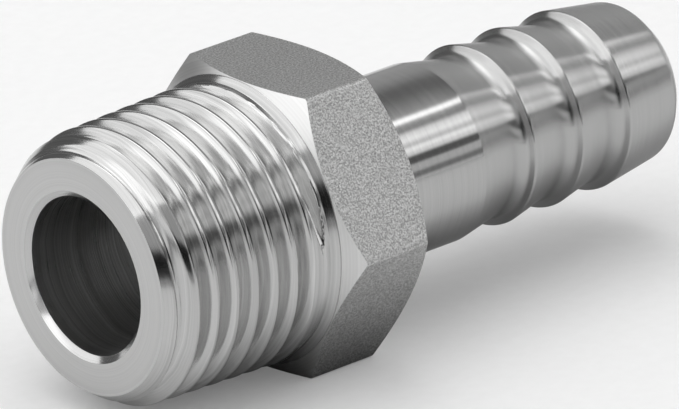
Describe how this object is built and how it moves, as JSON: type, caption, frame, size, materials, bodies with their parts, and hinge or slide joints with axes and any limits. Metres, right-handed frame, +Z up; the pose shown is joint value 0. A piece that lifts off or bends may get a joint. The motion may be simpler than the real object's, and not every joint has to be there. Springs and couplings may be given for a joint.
{
  "type": "hose barb adapter",
  "caption": "Stainless steel hose tail: tapered male pipe thread with a hexagon, and a barbed tail that a hose is pushed over, bored through.",
  "frame": {"origin": "below the middle of the overall length, at the height of the lowest point, as the fitting lies on a flat of its hexagon", "axes": "+X along the centre line from the threaded end to the hose end, +Z up from the flat it lies on, Y across two corners of the hexagon"},
  "size_m": [0.0538, 0.0252, 0.0218],
  "materials": {
    "stainless": "turned stainless steel on the thread, waterway and tail, grainy as cast on the hexagon's flats"
  },
  "bodies": {
    "root": {"barb_adapter": "stainless"}
  },
  "joints": []
}
